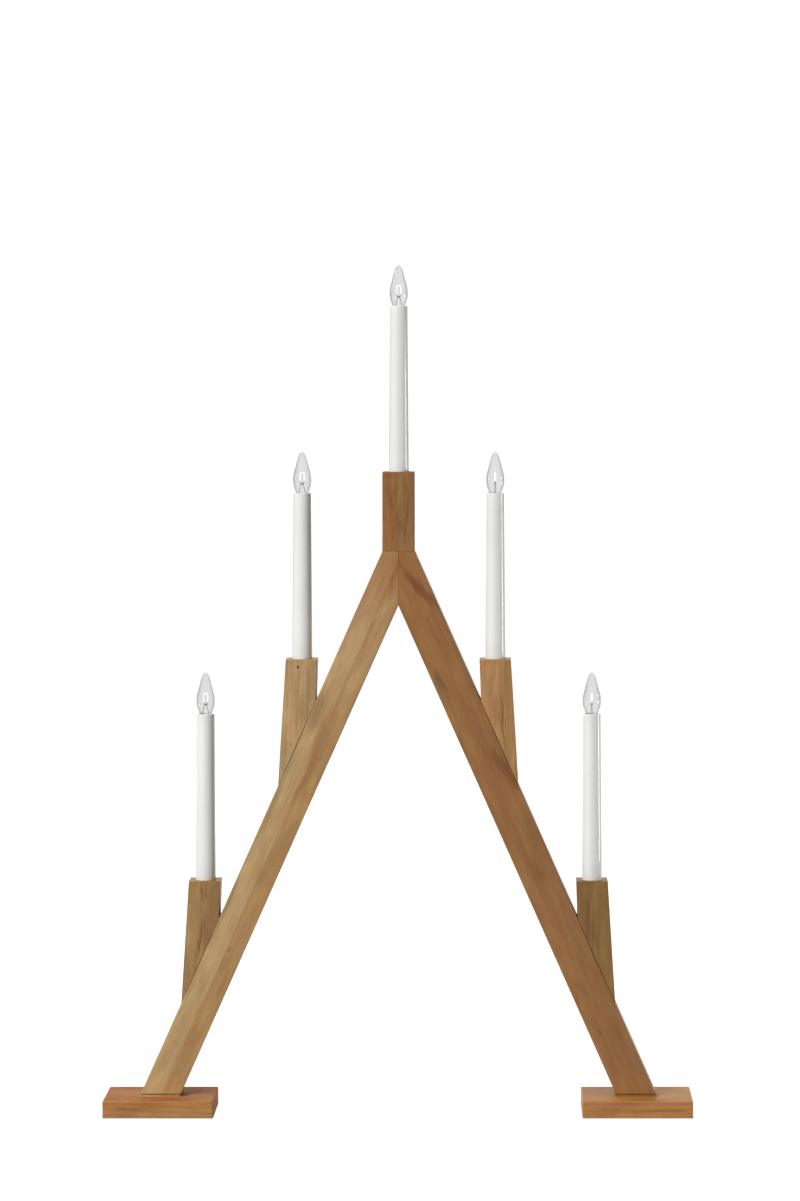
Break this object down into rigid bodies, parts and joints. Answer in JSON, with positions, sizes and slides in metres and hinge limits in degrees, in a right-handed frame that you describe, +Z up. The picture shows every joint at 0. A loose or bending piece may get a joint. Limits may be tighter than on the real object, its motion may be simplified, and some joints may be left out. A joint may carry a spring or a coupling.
{
  "type": "candle arch",
  "caption": "Wooden candle arch: two leaning legs on flat feet, mitred at the apex, with short posts that carry candle-shaped electric lights with screw-in bulbs.",
  "frame": {"origin": "on the floor, midway between the two feet and midway through the depth of the wood", "axes": "+X to the right seen from the front, +Y to the back, +Z up along the apex candle"},
  "size_m": [0.5122, 0.056, 0.7408],
  "materials": {
    "tan_wood": "stained and oiled, satin",
    "brown_wood": "stained and oiled, satin",
    "foot_wood": "stained and oiled, satin",
    "strip_wood": "stained and oiled, satin",
    "dowel_wood": "raw beech",
    "screw_steel": "zinc plated",
    "white_plastic": "glossy",
    "peg_plastic": "matt",
    "holder_plastic": "matt",
    "terminal_plastic": "matt",
    "wire_insulation": "matt",
    "brass": "bright, rolled",
    "clear_glass": "clear, blown",
    "lead_nickel": "drawn wire",
    "tungsten": "coiled wire, glowing",
    "bulb_end": "black sealing glass with a solder contact"
  },
  "bodies": {
    "frame": {"left_leg": "tan_wood", "upper_left_post": "tan_wood", "upper_right_post": "tan_wood", "right_leg": "brown_wood", "apex_post": "brown_wood", "lower_left_post": "brown_wood", "lower_right_post": "brown_wood", "left_foot": "foot_wood", "right_foot": "foot_wood", "left_cover_strip": "strip_wood", "right_cover_strip": "strip_wood", "mitre_dowels": "dowel_wood", "apex_dowels": "dowel_wood", "side_dowels": "dowel_wood", "foot_screws": "screw_steel", "candle_pegs": "peg_plastic", "socket_shells": "brass", "socket_contacts": "brass", "left_wires": "wire_insulation", "right_wires": "wire_insulation", "return_wire": "wire_insulation", "terminal_block": "terminal_plastic", "apex_candle": "white_plastic", "apex_lamp_holder": "holder_plastic", "upper_left_candle": "white_plastic", "upper_left_lamp_holder": "holder_plastic", "upper_right_candle": "white_plastic", "upper_right_lamp_holder": "holder_plastic", "lower_left_candle": "white_plastic", "lower_left_lamp_holder": "holder_plastic", "lower_right_candle": "white_plastic", "lower_right_lamp_holder": "holder_plastic"},
    "apex_bulb_base": {"apex_bulb_contact": "bulb_end"},
    "apex_bulb": {"apex_bulb_glass": "clear_glass", "apex_bulb_cap": "brass", "apex_bulb_leads": "lead_nickel", "apex_bulb_filament": "tungsten"},
    "upper_left_bulb_base": {"upper_left_bulb_contact": "bulb_end"},
    "upper_left_bulb": {"upper_left_bulb_glass": "clear_glass", "upper_left_bulb_cap": "brass", "upper_left_bulb_leads": "lead_nickel", "upper_left_bulb_filament": "tungsten"},
    "upper_right_bulb_base": {"upper_right_bulb_contact": "bulb_end"},
    "upper_right_bulb": {"upper_right_bulb_glass": "clear_glass", "upper_right_bulb_cap": "brass", "upper_right_bulb_leads": "lead_nickel", "upper_right_bulb_filament": "tungsten"},
    "lower_left_bulb_base": {"lower_left_bulb_contact": "bulb_end"},
    "lower_left_bulb": {"lower_left_bulb_glass": "clear_glass", "lower_left_bulb_cap": "brass", "lower_left_bulb_leads": "lead_nickel", "lower_left_bulb_filament": "tungsten"},
    "lower_right_bulb_base": {"lower_right_bulb_contact": "bulb_end"},
    "lower_right_bulb": {"lower_right_bulb_glass": "clear_glass", "lower_right_bulb_cap": "brass", "lower_right_bulb_leads": "lead_nickel", "lower_right_bulb_filament": "tungsten"}
  },
  "joints": [
    {"name": "apex_bulb_rise", "type": "slide", "parent": "frame", "child": "apex_bulb_base", "axis": [0, 0, 1], "range_m": [0, 0.0073]},
    {"name": "apex_bulb_turn", "type": "hinge", "parent": "apex_bulb_base", "child": "apex_bulb", "pos_m": [0, 0, 0], "axis": [0, 0, 1], "range_deg": [0, 1440]},
    {"name": "upper_left_bulb_rise", "type": "slide", "parent": "frame", "child": "upper_left_bulb_base", "axis": [0, 0, 1], "range_m": [0, 0.0073]},
    {"name": "upper_left_bulb_turn", "type": "hinge", "parent": "upper_left_bulb_base", "child": "upper_left_bulb", "pos_m": [-0.0845, 0, 0], "axis": [0, 0, 1], "range_deg": [0, 1440]},
    {"name": "upper_right_bulb_rise", "type": "slide", "parent": "frame", "child": "upper_right_bulb_base", "axis": [0, 0, 1], "range_m": [0, 0.0073]},
    {"name": "upper_right_bulb_turn", "type": "hinge", "parent": "upper_right_bulb_base", "child": "upper_right_bulb", "pos_m": [0.0845, 0, 0], "axis": [0, 0, 1], "range_deg": [0, 1440]},
    {"name": "lower_left_bulb_rise", "type": "slide", "parent": "frame", "child": "lower_left_bulb_base", "axis": [0, 0, 1], "range_m": [0, 0.0073]},
    {"name": "lower_left_bulb_turn", "type": "hinge", "parent": "lower_left_bulb_base", "child": "lower_left_bulb", "pos_m": [-0.169, 0, 0], "axis": [0, 0, 1], "range_deg": [0, 1440]},
    {"name": "lower_right_bulb_rise", "type": "slide", "parent": "frame", "child": "lower_right_bulb_base", "axis": [0, 0, 1], "range_m": [0, 0.0073]},
    {"name": "lower_right_bulb_turn", "type": "hinge", "parent": "lower_right_bulb_base", "child": "lower_right_bulb", "pos_m": [0.169, 0, 0], "axis": [0, 0, 1], "range_deg": [0, 1440]}
  ],
  "couplings": [
    {"joint": "apex_bulb_rise", "follows": "apex_bulb_turn", "m_per_rad": 0.00028871},
    {"joint": "upper_left_bulb_rise", "follows": "upper_left_bulb_turn", "m_per_rad": 0.00028871},
    {"joint": "upper_right_bulb_rise", "follows": "upper_right_bulb_turn", "m_per_rad": 0.00028871},
    {"joint": "lower_left_bulb_rise", "follows": "lower_left_bulb_turn", "m_per_rad": 0.00028871},
    {"joint": "lower_right_bulb_rise", "follows": "lower_right_bulb_turn", "m_per_rad": 0.00028871}
  ]
}
